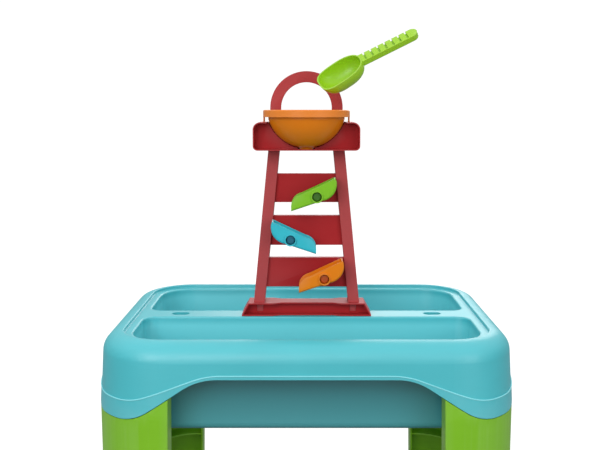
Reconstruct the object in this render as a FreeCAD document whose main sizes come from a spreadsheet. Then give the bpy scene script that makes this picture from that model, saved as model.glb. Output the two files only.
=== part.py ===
import FreeCAD, Part
import math
import os
import Sketcher

V = FreeCAD.Vector
os.makedirs("parts", exist_ok=True)
doc = FreeCAD.newDocument("sand_water_table")

# ---------------------------------------------------------------- driving sizes (mm)
SIZES = [
    ("rim_top", 420.0), ("half_width", 341.3), ("half_depth", 251.0), ("corner_rad", 110.0),
    ("tangent_z", 387.0), ("skirt_draft", 3.5), ("rim_round", 33.0), ("wall", 4.0),
    ("seat_inset", 34.8), ("seat_drop", 6.0), ("opening_inset", 49.5),
    ("basin_rad", 60.0), ("basin_div_rad", 25.0), ("basin_floor", 262.0), ("basin_draft", 5.0),
    ("floor_round", 12.0), ("divider_y", -15.0), ("divider_half", 25.0),
    ("arch_z", 364.0), ("lobe_z", 295.6), ("arch_flat_x", 143.0), ("arch_flat_y", 43.8),
    ("arch_arc", 95.0), ("arch_slope", 33.0),
    ("bead_arch_z", 370.0), ("bead_lobe_z", 326.3), ("bead_flat_x", 135.0), ("bead_flat_y", 38.0),
    ("bead_arc", 130.0), ("bead_slope", 20.0), ("bead_proud", 1.1),
    ("socket_x", 230.0), ("socket_long", 32.0), ("socket_rad", 10.0), ("socket_deep", 60.0),
    ("peg_x", 80.0), ("peg_rad", 9.0), ("peg_hole_rad", 9.4),
    ("drain_x", 200.0), ("drain_front_y", -122.0), ("drain_rear_y", 107.0), ("drain_rad", 9.0),
    ("leg_edge_x", 217.4), ("leg_edge_y", 126.0), ("leg_taper", 7.0), ("leg_deep", 38.0),
    ("leg_wall", 3.2), ("leg_top", 370.0), ("leg_gap", 0.5),
    ("screw_rad", 1.6), ("screw_head_rad", 3.6), ("screw_head", 2.4), ("screw_long", 16.0),
    ("base_bottom", 414.3), ("base_top", 438.0), ("base_half", 116.7), ("base_top_half", 105.0),
    ("base_front", -37.5), ("base_back", 10.5), ("base_wall", 2.5), ("base_waist", 7.0), ("base_web", -20.0),
    ("frame_front", -29.0), ("frame_back", 10.0), ("upright_out_low", 95.4), ("upright_in_low", 75.9),
    ("upright_out_top", 67.6), ("upright_in_top", 47.6), ("frame_top", 714.3), ("frame_wall", 2.5),
    ("panel_front", -22.0), ("panel_deep", 12.0), ("panel_a_low", 619.8), ("panel_a_top", 671.2), ("panel_b_low", 542.2),
    ("panel_b_top", 595.8), ("panel_c_low", 465.8), ("panel_c_top", 519.1),
    ("cradle_half", 92.5), ("cradle_low", 714.3), ("cradle_top", 762.9), ("cradle_front", -73.0),
    ("cradle_back", 21.0), ("cradle_wall", 2.0), ("cradle_round_top", 13.0), ("cradle_round_low", 8.0),
    ("cradle_cut", 68.5), ("spout_cut", 14.5),
    ("grip_out", 65.8), ("grip_in", 46.1), ("grip_z", 787.3), ("grip_low", 718.0), ("grip_deep", 12.0),
    ("grip_wall", 2.5),
    ("bowl_y", -55.0), ("bowl_rim_rad", 75.0), ("bowl_rim_top", 783.9), ("bowl_rim_low", 771.8),
    ("bowl_rad", 66.0), ("bowl_wall", 2.5), ("bowl_bottom", 716.1), ("bowl_spout_rad", 10.5),
    ("bowl_tab_low", 763.2), ("sieve_hole_rad", 1.5), ("sieve_ring_rad", 6.2),
    ("hub_a_x", 18.2), ("hub_a_z", 634.0), ("hub_b_x", -27.9), ("hub_b_z", 558.3),
    ("hub_c_x", 31.6), ("hub_c_z", 488.8),
    ("tip_angle", 18.5), ("tip_swing", 45.0), ("tip_front", -71.0), ("tip_back", -35.0), ("tip_wall", 2.2),
    ("hub_rad", 10.7), ("hub_front", -73.5), ("hub_back", -32.7), ("hub_recess_rad", 8.5),
    ("hub_recess_y", -63.5), ("hub_tube_rad", 7.0), ("pin_rad", 4.5), ("pin_bore_rad", 4.56),
    ("pin_flange_rad", 7.8), ("boss_rad", 12.5), ("boss_front", -32.2), ("stop_rad", 8.2), ("stop_pin_rad", 1.7),
    ("scoop_x", 57.2), ("scoop_y", -55.0), ("scoop_z", 849.6), ("scoop_half_long", 42.0),
    ("scoop_half_wide", 30.0), ("scoop_deep", 32.0), ("scoop_wall", 2.4), ("scoop_pitch", 33.7),
    ("scoop_roll", 36.9), ("scoop_grip_long", 110.0), ("scoop_grip_wide", 22.0), ("scoop_grip_thick", 11.5),
    ("scoop_grip_pitch", 26.3),
]
sheet = doc.addObject("Spreadsheet::Sheet", "Dim")
for row, (name, value) in enumerate(SIZES, start=1):
    sheet.set("A%d" % row, name)
    sheet.set("B%d" % row, "%g" % value)
    sheet.setAlias("B%d" % row, name)
doc.recompute()


class Q:
    """A length that carries both its number and the sheet expression it comes from."""

    def __init__(self, v, e):
        self.v = float(v)
        self.e = e

    def __add__(self, o):
        o = q(o)
        return Q(self.v + o.v, "(%s + %s)" % (self.e, o.e))

    def __radd__(self, o):
        return q(o) + self

    def __sub__(self, o):
        o = q(o)
        return Q(self.v - o.v, "(%s - %s)" % (self.e, o.e))

    def __rsub__(self, o):
        return q(o) - self

    def __mul__(self, k):
        return Q(self.v * k, "(%s * %g)" % (self.e, k))

    def __neg__(self):
        return Q(-self.v, "(0 - %s)" % self.e)

    def __float__(self):
        return self.v


def q(o):
    if isinstance(o, Q):
        return o
    return Q(float(o), ("(0 - %.6g)" % -o) if o < 0 else "%.6g" % o)


def D(name):
    return Q(getattr(sheet, name), "Dim." + name)


def F(name):
    return float(getattr(sheet, name))


nodes = {}


def node(obj, name):
    obj.Label = name
    nodes[name] = obj
    return obj


# ---------------------------------------------------------------- sketch helpers
def add_arc(sk, a, m, b):
    """Adds the arc a-m-b, always wound anticlockwise; says whether a is its first end, and its centre."""
    d = 2 * (a[0] * (m[1] - b[1]) + m[0] * (b[1] - a[1]) + b[0] * (a[1] - m[1]))
    sa, sm, sb = (p[0] ** 2 + p[1] ** 2 for p in (a, m, b))
    cx = (sa * (m[1] - b[1]) + sm * (b[1] - a[1]) + sb * (a[1] - m[1])) / d
    cy = (sa * (b[0] - m[0]) + sm * (a[0] - b[0]) + sb * (m[0] - a[0])) / d
    r = math.hypot(a[0] - cx, a[1] - cy)
    ta, tb = math.atan2(a[1] - cy, a[0] - cx), math.atan2(b[1] - cy, b[0] - cx)
    turn = (m[0] - a[0]) * (b[1] - m[1]) - (m[1] - a[1]) * (b[0] - m[0])
    first = turn > 0
    lo, hi = (ta, tb) if first else (tb, ta)
    if hi < lo:
        hi += 2 * math.pi
    g = sk.addGeometry(Part.ArcOfCircle(Part.Circle(V(cx, cy, 0), V(0, 0, 1), r), lo, hi), False)
    return g, first, (cx, cy)


def fill(sk, loops):
    """Draws closed loops. A loop is a list of corners; an entry ('arc', middle, end) bends the run to that end."""
    for loop in loops:
        if loop[0] == "circle":
            _, cx, cy, r = loop
            cx, cy, r = q(cx), q(cy), q(r)
            g = sk.addGeometry(Part.Circle(V(cx.v, cy.v, 0), V(0, 0, 1), r.v), False)
            c = sk.addConstraint(Sketcher.Constraint("Radius", g, r.v))
            bind(sk, c, r)
            place(sk, g, 3, cx, cy)
            continue
        start = (q(loop[0][0]), q(loop[0][1]))
        here = start
        ids = []
        steps = loop[1:] + [loop[0]]
        if loop[-1][0] == "arc" and len(loop[-1]) > 3 and loop[-1][3] == "close":
            steps = loop[1:]
        for st in steps:
            if st[0] == "arc":
                mid, end = st[1], (q(st[2][0]), q(st[2][1]))
                g, first, cen = add_arc(sk, (here[0].v, here[1].v), (float(mid[0]), float(mid[1])), (end[0].v, end[1].v))
                ctr = st[4] if len(st) > 4 else (q(cen[0]), q(cen[1]))
                ids.append((g, 1 if first else 2, 2 if first else 1, ctr, here, end))
            else:
                end = (q(st[0]), q(st[1]))
                g = sk.addGeometry(Part.LineSegment(V(here[0].v, here[1].v, 0), V(end[0].v, end[1].v, 0)), False)
                ids.append((g, 1, 2, None, here, end))
            here = end
        n = len(ids)
        for i in range(n):
            g, a, b, rad, p0, p1 = ids[i]
            g2, a2 = ids[(i + 1) % n][0], ids[(i + 1) % n][1]
            sk.addConstraint(Sketcher.Constraint("Coincident", g, b, g2, a2))
            place(sk, g, a, p0[0], p0[1])
        for g, a, b, ctr, p0, p1 in ids:
            if ctr is not None:
                wide = abs(p1[0].v - p0[0].v) >= abs(p1[1].v - p0[1].v)
                kind, val = ("DistanceY", q(ctr[1])) if wide else ("DistanceX", q(ctr[0]))
                if abs(val.v) < 1e-9:
                    sk.addConstraint(Sketcher.Constraint("PointOnObject", g, 3, -1 if wide else -2))
                else:
                    bind(sk, sk.addConstraint(Sketcher.Constraint(kind, -1, 1, g, 3, val.v)), val)


def bind(sk, c, val):
    if "Dim." in val.e:
        sk.setExpression("Constraints[%d]" % c, val.e)


def place(sk, g, pos, x, y):
    for kind, val in (("DistanceX", x), ("DistanceY", y)):
        if abs(val.v) < 1e-9:
            if kind == "DistanceX":
                sk.addConstraint(Sketcher.Constraint("PointOnObject", g, pos, -2))
            else:
                sk.addConstraint(Sketcher.Constraint("PointOnObject", g, pos, -1))
        else:
            c = sk.addConstraint(Sketcher.Constraint(kind, -1, 1, g, pos, val.v))
            bind(sk, c, val)


def origin_plane(body, role):
    for f in body.Origin.OriginFeatures:
        if f.Role == role:
            return f


def body_sketch(body, role, loops, off=None):
    sk = body.newObject("Sketcher::SketchObject", body.Name + "_sketch")
    sk.AttachmentSupport = [(origin_plane(body, role), "")]
    sk.MapMode = "FlatFace"
    if off is not None:
        off = q(off)
        sk.AttachmentOffset = FreeCAD.Placement(V(0, 0, off.v), FreeCAD.Rotation())
        if "Dim." in off.e:
            sk.setExpression("AttachmentOffset.Base.z", off.e)
    fill(sk, loops)
    return sk


def new_body(name):
    return doc.addObject("PartDesign::Body", name)


def solid_feature(body, kind, sk, length, rev=False):
    f = body.newObject("PartDesign::" + kind, body.Name + "_" + kind)
    f.Profile = sk
    length = q(length)
    f.Length = length.v
    if "Dim." in length.e:
        f.setExpression("Length", length.e)
    f.Reversed = rev
    doc.recompute()
    return f


def turned(body, sk, off=None):
    f = body.newObject("PartDesign::Revolution", body.Name + "_turn")
    f.Profile = sk
    f.ReferenceAxis = (sk, ["V_Axis"])
    f.Angle = 360
    doc.recompute()
    return f


ROT = {"XY": FreeCAD.Rotation(), "XZ": FreeCAD.Rotation(V(1, 0, 0), 90),
       "YZ": FreeCAD.Rotation(V(1, 1, 1), 120)}
DIR = {"XY": V(0, 0, 1), "XZ": V(0, 1, 0), "YZ": V(1, 0, 0)}
AX = {"XY": "z", "XZ": "y", "YZ": "x"}


def prism(name, plane, loops, start, length):
    """Closed loops in a plane, at `start` along the plane's axis, pushed along it."""
    sk = doc.addObject("Sketcher::SketchObject", name + "_sketch")
    start, length = q(start), q(length)
    base = V(0, 0, 0)
    setattr(base, AX[plane], start.v)
    sk.Placement = FreeCAD.Placement(base, ROT[plane])
    if "Dim." in start.e:
        sk.setExpression("Placement.Base." + AX[plane], start.e)
    fill(sk, loops)
    e = doc.addObject("Part::Extrusion", name)
    e.Base = sk
    e.DirMode = "Custom"
    e.Dir = DIR[plane]
    e.LengthFwd = length.v
    if "Dim." in length.e:
        e.setExpression("LengthFwd", length.e)
    e.Solid = True
    return e


def block(name, x0, x1, y0, y1, z0, z1):
    b = doc.addObject("Part::Box", name)
    for prop, lo, hi in (("Length", x0, x1), ("Width", y0, y1), ("Height", z0, z1)):
        d = q(hi) - q(lo)
        setattr(b, prop, d.v)
        if "Dim." in d.e:
            b.setExpression(prop, d.e)
    b.Placement.Base = V(float(x0), float(y0), float(z0))
    for ax, lo in (("x", x0), ("y", y0), ("z", z0)):
        lo = q(lo)
        if "Dim." in lo.e:
            b.setExpression("Placement.Base." + ax, lo.e)
    return b


def rod(name, r, length, at, axis="z"):
    c = doc.addObject("Part::Cylinder", name)
    r, length = q(r), q(length)
    c.Radius, c.Height = r.v, length.v
    if "Dim." in r.e:
        c.setExpression("Radius", r.e)
    if "Dim." in length.e:
        c.setExpression("Height", length.e)
    rot = {"z": FreeCAD.Rotation(), "y": FreeCAD.Rotation(V(1, 0, 0), -90), "x": FreeCAD.Rotation(V(0, 1, 0), 90)}[axis]
    c.Placement = FreeCAD.Placement(V(float(at[0]), float(at[1]), float(at[2])), rot)
    for ax, val in zip("xyz", at):
        val = q(val)
        if "Dim." in val.e:
            c.setExpression("Placement.Base." + ax, val.e)
    return c


def minus(name, a, b):
    o = doc.addObject("Part::Cut", name)
    o.Base, o.Tool = a, b
    return o


def both(name, a, b):
    o = doc.addObject("Part::MultiCommon", name)
    o.Shapes = [a, b]
    return o


def joined(name, parts):
    o = doc.addObject("Part::MultiFuse", name)
    o.Shapes = parts
    return o


def rounded(x0, x1, y0, y1, rs):
    """Rounded rectangle loop; rs = radii at (x0,y0), (x1,y0), (x1,y1), (x0,y1)."""
    x0, x1, y0, y1 = q(x0), q(x1), q(y0), q(y1)
    a, b, c, d = [q(r) for r in rs]
    k = 1 - math.sqrt(0.5)
    return [(x0 + a, y0), (x1 - b, y0),
            ("arc", (x1.v - b.v * k, y0.v + b.v * k), (x1, y0 + b), "", (x1 - b, y0 + b)), (x1, y1 - c),
            ("arc", (x1.v - c.v * k, y1.v - c.v * k), (x1 - c, y1), "", (x1 - c, y1 - c)), (x0 + d, y1),
            ("arc", (x0.v + d.v * k, y1.v - d.v * k), (x0, y1 - d), "", (x0 + d, y1 - d)), (x0, y0 + a),
            ("arc", (x0.v + a.v * k, y0.v + a.v * k), (x0 + a, y0), "close", (x0 + a, y0 + a))]


# ---------------------------------------------------------------- shell helpers for the large mouldings
def ring_wire(x0, x1, y0, y1, rs, z):
    a, b, c, d = rs
    k = math.sqrt(0.5)
    P = lambda x, y: V(x, y, z)
    ed = []

    def line(p, s):
        if (p - s).Length > 1e-7:
            ed.append(Part.makeLine(p, s))

    line(P(x0 + a, y0), P(x1 - b, y0))
    ed.append(Part.Arc(P(x1 - b, y0), P(x1 - b + b * k, y0 + b - b * k), P(x1, y0 + b)).toShape())
    line(P(x1, y0 + b), P(x1, y1 - c))
    ed.append(Part.Arc(P(x1, y1 - c), P(x1 - c + c * k, y1 - c + c * k), P(x1 - c, y1)).toShape())
    line(P(x1 - c, y1), P(x0 + d, y1))
    ed.append(Part.Arc(P(x0 + d, y1), P(x0 + d - d * k, y1 - d + d * k), P(x0, y1 - d)).toShape())
    line(P(x0, y1 - d), P(x0, y0 + a))
    ed.append(Part.Arc(P(x0, y0 + a), P(x0 + a - a * k, y0 + a - a * k), P(x0 + a, y0)).toShape())
    return Part.Wire(ed)


def plan(off, z):
    hx, hy, r = F("half_width") + off, F("half_depth") + off, F("corner_rad") + off
    return ring_wire(-hx, hx, -hy, hy, [r] * 4, z)


def loft(wires):
    out = None
    for a, b in zip(wires, wires[1:]):
        s = Part.makeLoft([a, b], True, True)
        out = s if out is None else out.fuse(s)
    return out


def flare(z):
    return (F("tangent_z") - z) * math.tan(math.radians(F("skirt_draft")))


def edge_curve(flat, arc, slope, high, low, far):
    """Half of a scalloped edge: flat, bend down, straight, bend level, flat; returns wires' edges."""
    s, c = math.sin(math.radians(slope)), math.cos(math.radians(slope))
    drop = arc * (1 - c)
    x0 = flat
    x1, z1 = x0 + arc * s, high - drop
    run = (high - low - 2 * drop) / math.tan(math.radians(slope))
    x2, z2 = x1 + run, low + drop
    x3 = x2 + arc * s
    hs, hc = math.sin(math.radians(slope / 2)), math.cos(math.radians(slope / 2))
    m1 = (x0 + arc * hs, high - arc * (1 - hc))
    m2 = (x3 - arc * hs, low + arc * (1 - hc))
    return [(x0, high), m1, (x1, z1), (x2, z2), m2, (x3, low), (far, low)]


def under(kind, along, flat, shift=0.0, floor=-20.0):
    """Solid of everything below a scalloped edge, pushed across the whole table."""
    if kind == "edge":
        pts = edge_curve(flat, F("arch_arc"), F("arch_slope"), F("arch_z"), F("lobe_z"), 460.0)
    else:
        pts = edge_curve(flat, F("bead_arc"), F("bead_slope"), F("bead_arch_z"), F("bead_lobe_z"), 460.0)
    if along == "x":
        P = lambda u, z: V(u, -400, z + shift)
        push = V(0, 800, 0)
    else:
        P = lambda u, z: V(-450, u, z + shift)
        push = V(900, 0, 0)
    ed = []
    for sgn in (1, -1):
        p = [P(sgn * u, z) for u, z in pts]
        seq = [Part.Arc(p[0], p[1], p[2]).toShape(), Part.makeLine(p[2], p[3]),
               Part.Arc(p[3], p[4], p[5]).toShape(), Part.makeLine(p[5], p[6])]
        ed += seq
    a, b = P(460.0, pts[-1][1]), P(-460.0, pts[-1][1])
    f1, f2 = P(460.0, floor - shift), P(-460.0, floor - shift)
    ed += [Part.makeLine(a, f1), Part.makeLine(f1, f2), Part.makeLine(f2, b),
           Part.makeLine(P(-pts[0][0], pts[0][1]), P(pts[0][0], pts[0][1]))]
    wire = Part.Wire(Part.__sortEdges__(ed))
    return Part.Face(wire).extrude(push)


def try_round(shape, edges, r):
    if not edges:
        return shape
    try:
        s = shape.makeFillet(r, edges)
        if s.isValid() and s.Volume > 0 and len(s.Solids) == 1:
            return s
    except Exception:
        pass
    print("no rounding of", r, "on", len(edges), "edges")
    return shape


def level_edges(shape, z, tol=0.01):
    return [e for e in shape.Edges if abs(e.BoundBox.ZMin - z) < tol and abs(e.BoundBox.ZMax - z) < tol]


def stadium(x, y, long, r, z0, z1):
    """Upright prism with half-round ends, long side along X."""
    h = long / 2.0 - r
    p = [V(x - h, y - r, z0), V(x + h, y - r, z0), V(x + h + r, y, z0), V(x + h, y + r, z0), V(x - h, y + r, z0), V(x - h - r, y, z0)]
    w = Part.Wire([Part.makeLine(p[0], p[1]), Part.Arc(p[1], p[2], p[3]).toShape(), Part.makeLine(p[3], p[4]), Part.Arc(p[4], p[5], p[0]).toShape()])
    return Part.Face(w).extrude(V(0, 0, z1 - z0))


# ---------------------------------------------------------------- tub
def make_tub():
    top, w = F("rim_top"), F("wall")
    bottom = F("lobe_z") - 12
    out = loft([plan(flare(bottom), bottom), plan(flare(top), top)])
    out = out.makeFillet(F("rim_round"), level_edges(out, top))
    band = loft([plan(flare(bottom) + F("bead_proud"), bottom), plan(flare(380.0) + F("bead_proud"), 380.0)])
    below_bead = under("bead", "x", F("bead_flat_x")).fuse(under("bead", "y", F("bead_flat_y")))
    out = out.fuse(band.common(below_bead))
    inn = loft([plan(flare(bottom) - w, bottom - 1), plan(flare(top - w) - w, top - w)])
    inn = inn.makeFillet(F("rim_round") - w, level_edges(inn, top - w))
    si = F("seat_inset")
    seat_z = top - F("seat_drop")
    hub = loft([plan(-si + w, seat_z - w), plan(-si + w, top - 0.01)])
    shell = out.cut(inn).fuse(hub)
    cutter = under("edge", "x", F("arch_flat_x")).fuse(under("edge", "y", F("arch_flat_y")))
    shell = shell.cut(cutter)

    hx, hy = F("half_width") - F("opening_inset"), F("half_depth") - F("opening_inset")
    dy, dh = F("divider_y"), F("divider_half")
    R, r = F("basin_rad"), F("basin_div_rad")
    td = math.tan(math.radians(F("basin_draft")))
    rooms = [(-hy, dy - dh, [R, R, r, r]), (dy + dh, hy, [r, r, R, R])]
    outers, inners = [], []
    fl = F("basin_floor")
    for y0, y1, rs in rooms:
        def wire(z, grow, rs=rs, y0=y0, y1=y1):
            k = -(seat_z - z) * td + grow
            return ring_wire(-hx - k, hx + k, y0 - k, y1 + k, [a + k for a in rs], z)
        o = Part.makeLoft([wire(fl - w, w), wire(seat_z, w)], True, True)
        o = o.makeFillet(F("floor_round") + w, level_edges(o, fl - w))
        i = Part.makeLoft([wire(fl, 0.0), wire(top + 5, 0.0)], True, True)
        i = i.makeFillet(F("floor_round"), level_edges(i, fl))
        outers.append(o)
        inners.append(i)
    tub = shell
    for o in outers:
        tub = tub.fuse(o)
    # accessory sockets and tower peg sleeves hanging from the divider
    sx, sr = F("socket_x"), F("socket_rad")
    for s in (-1, 1):
        tub = tub.fuse(stadium(s * sx, dy, F("socket_long") + 6, sr + 3, seat_z - F("socket_deep") - 3, seat_z))
        tub = tub.fuse(Part.makeCylinder(F("peg_hole_rad") + 2.6, 24, V(s * F("peg_x"), dy, seat_z - 24)))
    # screw bosses over the legs
    for x, y in leg_screw_places():
        tub = tub.fuse(Part.makeCylinder(6.5, top - w + 0.2 - 370.4, V(x, y, 370.4)))
    room = loft([plan(-si - 0.4, seat_z), plan(-si, top - 1.5)])
    for i in inners:
        room = room.fuse(i.common(Part.makeBox(900, 900, seat_z + 3 - fl, V(-450, -450, fl))))
    room = room.removeSplitter()
    lips = [e for e in level_edges(room, seat_z)
            if max(abs(e.BoundBox.XMin), abs(e.BoundBox.XMax)) < hx + 0.5
            and max(abs(e.BoundBox.YMin), abs(e.BoundBox.YMax)) < hy + 0.5]
    room = try_round(room, lips, 3.5)
    step = [e for e in level_edges(room, seat_z) if max(abs(e.BoundBox.XMin), abs(e.BoundBox.XMax)) > hx + 8
            or max(abs(e.BoundBox.YMin), abs(e.BoundBox.YMax)) > hy + 8]
    room = try_round(room, step, 1.5)
    tub = tub.cut(room)
    tub = tub.cut(loft([plan(-si, top - 1.5), plan(-si + 0.45, top - 0.5), plan(-si + 1.6, top + 0.01), plan(-si + 1.6, top + 3)]))
    for s in (-1, 1):
        slot = stadium(s * sx, dy, F("socket_long"), sr, seat_z - F("socket_deep"), seat_z + 1)
        tub = tub.cut(slot)
        tub = tub.cut(Part.makeCylinder(F("peg_hole_rad"), 40, V(s * F("peg_x"), dy, seat_z - 32)))
    for x, y in leg_screw_places():
        tub = tub.cut(Part.makeCylinder(F("screw_rad") + 0.06, 22, V(x, y, 370.0)))
    for y in (F("drain_front_y"), F("drain_rear_y")):
        tub = tub.cut(Part.makeCylinder(F("drain_rad") + 0.1, 20, V(F("drain_x"), y, fl - 12)))
    tub = tub.removeSplitter()
    return tub


def leg_screw_places():
    cx, cy = F("half_width") - F("corner_rad"), F("half_depth") - F("corner_rad")
    out = []
    for sx in (-1, 1):
        for sy in (-1, 1):
            for a in (22, 68):
                r = F("corner_rad") - 26
                out.append((sx * (cx + r * math.cos(math.radians(a))), sy * (cy + r * math.sin(math.radians(a)))))
    return out


# ---------------------------------------------------------------- legs: corner shells open to the inside
def make_leg(sx, sy):
    w, g = F("leg_wall"), F("leg_gap")
    top = F("leg_top")
    wall = F("wall")
    core = loft([plan(flare(290.0) - wall - g, 0.0), plan(flare(290.0) - wall - g, 290.0), plan(flare(top) - wall - g, top)])
    skin = loft([plan(flare(300.0) + 0.4, 0.0), plan(flare(300.0) + 0.7, 300.0), plan(flare(top) + 0.7, top)])
    below = under("edge", "x", F("arch_flat_x"), -1.2).fuse(under("edge", "y", F("arch_flat_y"), -1.2))
    body = core.fuse(skin.common(below))
    body = body.cut(loft([plan(flare(300.0) - F("leg_deep"), -1.0), plan(flare(300.0) - F("leg_deep"), top + 1)]))
    ex, ey, tp = F("leg_edge_x"), F("leg_edge_y"), F("leg_taper")

    def corner(dx):
        a = Part.makePolygon([V((ex + dx) * 1.0, -500, top + 2), V(500, -500, top + 2), V(500, -500, -2),
                              V(ex + dx + tp, -500, -2), V(ex + dx, -500, top + 2)])
        a = Part.Face(a).extrude(V(0, 1000, 0))
        b = Part.makePolygon([V(-500, (ey + dx), top + 2), V(-500, 500, top + 2), V(-500, 500, -2),
                              V(-500, ey + dx + tp, -2), V(-500, ey + dx, top + 2)])
        b = Part.Face(b).extrude(V(1000, 0, 0))
        return a.common(b)

    leg = body.common(corner(0.0))
    inner = corner(w)
    deep = loft([plan(flare(300.0) - F("leg_deep") - 30, -1.0), plan(flare(300.0) - F("leg_deep") - 30, top + 1)])
    low_cell = loft([plan(flare(300.0) + 0.4 - w, 0.0), plan(flare(300.0) + 0.7 - w, 282.0)]).cut(deep).common(inner)
    high_cell = loft([plan(flare(283.0) - wall - g - w, 283.0), plan(flare(top) - wall - g - w, top)]).cut(deep).common(inner)
    for z0, z1, cell in ((4.0, 92.0, low_cell), (95.0, 185.0, low_cell), (188.0, 280.0, low_cell),
                         (283.0, top - w, high_cell)):
        slab = Part.makeBox(900, 900, z1 - z0, V(0, 0, z0))
        leg = leg.cut(cell.common(slab))
    leg = leg.removeSplitter()
    soft = []
    for e in leg.Edges:
        b = e.BoundBox
        if b.ZLength > 60 and b.XMin > ex - 1 and b.XMax < ex + tp + 1 and b.YMin > F("half_depth") - 12:
            soft.append(e)
        if b.ZLength > 60 and b.YMin > ey - 1 and b.YMax < ey + tp + 1 and b.XMin > F("half_width") - 12:
            soft.append(e)
    leg = try_round(leg, soft, 2.5)
    for x, y in leg_screw_places():
        if x > 0 and y > 0:
            leg = leg.cut(Part.makeCylinder(F("screw_rad") + 0.3, 20, V(x, y, top - 10)))
    if sx < 0:
        leg = leg.mirror(V(0, 0, 0), V(1, 0, 0))
    if sy < 0:
        leg = leg.mirror(V(0, 0, 0), V(0, 1, 0))
    return leg


def feature(name, shape, placement=None):
    o = doc.addObject("Part::Feature", name + "_shape")
    o.Shape = shape
    o.Placement = placement or FreeCAD.Placement(V(0, 0, 0), FreeCAD.Rotation())
    return node(o, name)


def as_solid(s):
    return s.Solids[0] if len(s.Solids) == 1 else Part.makeCompound(s.Solids)


feature("tub", as_solid(make_tub()))
for nm, sx, sy in (("front_left_leg", -1, -1), ("front_right_leg", 1, -1), ("rear_left_leg", -1, 1), ("rear_right_leg", 1, 1)):
    feature(nm, as_solid(make_leg(sx, sy)))


def screw(at, way):
    """Pan-head screw: `at` is where the head's bearing face sits, `way` the unit direction of the shank."""
    s = Part.makeCylinder(F("screw_rad"), F("screw_long"), at, way)
    hd = Part.makeCylinder(F("screw_head_rad"), F("screw_head"), at - way * F("screw_head"), way)
    rim = [e for e in hd.Edges if e.Curve.TypeId == "Part::GeomCircle" and (e.CenterOfMass - (at - way * F("screw_head"))).Length < 0.01]
    hd = hd.makeFillet(1.1, rim)
    s = s.fuse(hd)
    slot = Part.makeBox(4.0, 0.9, 1.0, V(-2.0, -0.45, 0)).fuse(Part.makeBox(0.9, 4.0, 1.0, V(-0.45, -2.0, 0)))
    slot.Placement = FreeCAD.Placement(at - way * F("screw_head"), FreeCAD.Rotation(V(0, 0, 1), way))
    return s.cut(slot)


feature("leg_screws", Part.makeCompound([screw(V(x, y, F("leg_top") - F("leg_wall")), V(0, 0, 1)) for x, y in leg_screw_places()]))

# ---------------------------------------------------------------- drain plugs: turned, with a finger tab
for nm, key in (("front_drain_plug", "drain_front_y"), ("rear_drain_plug", "drain_rear_y")):
    b = new_body(nm + "_body")
    fl = D("basin_floor")
    r = D("drain_rad")
    sk = body_sketch(b, "XZ_Plane", [[(0, fl - 10), (r - 1.5, fl - 10), (r, fl - 8.5), (r, fl + 0.3), (r + 6, fl + 0.3),
                                     (r + 6, fl + 2.0), (r + 4.5, fl + 3.2), (0, fl + 3.2)]])
    turned(b, sk)
    sk = body_sketch(b, "XZ_Plane", [rounded(-8, 8, fl + 2.5, fl + 13, [0.5, 0.5, 5, 5])], -1.6)
    solid_feature(b, "Pad", sk, 3.2)
    b.Placement.Base = V(F("drain_x"), F(key), 0)
    b.setExpression("Placement.Base.x", "Dim.drain_x")
    b.setExpression("Placement.Base.y", "Dim." + key)
    node(b, nm)

# ---------------------------------------------------------------- tower base: beam with an upright web, waisted in plan
z0, z1, w = D("base_bottom"), D("base_top"), D("base_wall")
bh, th = D("base_half"), D("base_top_half")
yf, yb, ws = D("base_front"), D("base_back"), D("base_waist")
outer = prism("base_outer", "XZ", [[(-bh, z0), (bh, z0), (bh, z0 + 3), (th, z1), (-th, z1), (-bh, z0 + 3)]], yf - 5, yb - yf + 10)
footprint = prism("base_plan", "XY", [[(-bh - 5, yf), (-62, yf), (-46, yf + ws), (46, yf + ws), (62, yf), (bh + 5, yf),
                                      (bh + 5, yb), (62, yb), (46, yb - ws), (-46, yb - ws), (-62, yb), (-bh - 5, yb)]],
                 z0 - 5, z1 - z0 + 10)
inner = prism("base_inner", "XZ", [[(-bh + 3.5, z0 + w), (bh - 3.5, z0 + w), (bh - 3.5, z0 + 3.6), (th - 1.7, z1 - w), (-th + 1.7, z1 - w),
                                    (-bh + 3.5, z0 + 3.6)]], yf - 5, yb - yf + 10)
wb = D("base_web")
inner_plan = prism("base_inner_plan", "XY", [[(-bh - 5, yf - 5), (bh + 5, yf - 5), (bh + 5, wb), (-bh - 5, wb)],
                                             [(-bh - 5, wb + w), (bh + 5, wb + w), (bh + 5, yb + 5), (-bh - 5, yb + 5)]],
                   z0 - 5, z1 - z0 + 10)
base = minus("base_hollow", both("base_block", outer, footprint), both("base_void", inner, inner_plan))
towers = [block("base_boss_%d" % i, s * 84.5 - 7, s * 84.5 + 7, -18, 0, z0 + 1, z0 + 6) for i, s in enumerate((-1, 1))]
px, dv = D("peg_x"), D("divider_y")
pegs = [rod("base_peg_%d" % i, D("peg_rad"), 19, (px * s, dv, z0 - 18)) for i, s in enumerate((-1, 1))]
slots = []
for i, s in enumerate((-1, 1)):
    slots.append(block("base_slot_%d" % i, s * 84.5 - 5.3, s * 84.5 + 5.3, -22.3, 4.3, z0 + 6, z1 + 5))
    slots.append(rod("base_screw_hole_%d" % i, 1.9, 40, (s * 84.5, -9, z0 - 20)))
    slots.append(rod("base_head_hole_%d" % i, 4.2, 23.0, (s * 84.5, -9, z0 - 20)))
base = minus("base_cut", joined("base_with_pegs", [base] + pegs + towers), joined("base_slots", slots))
node(base, "tower_base")

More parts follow.
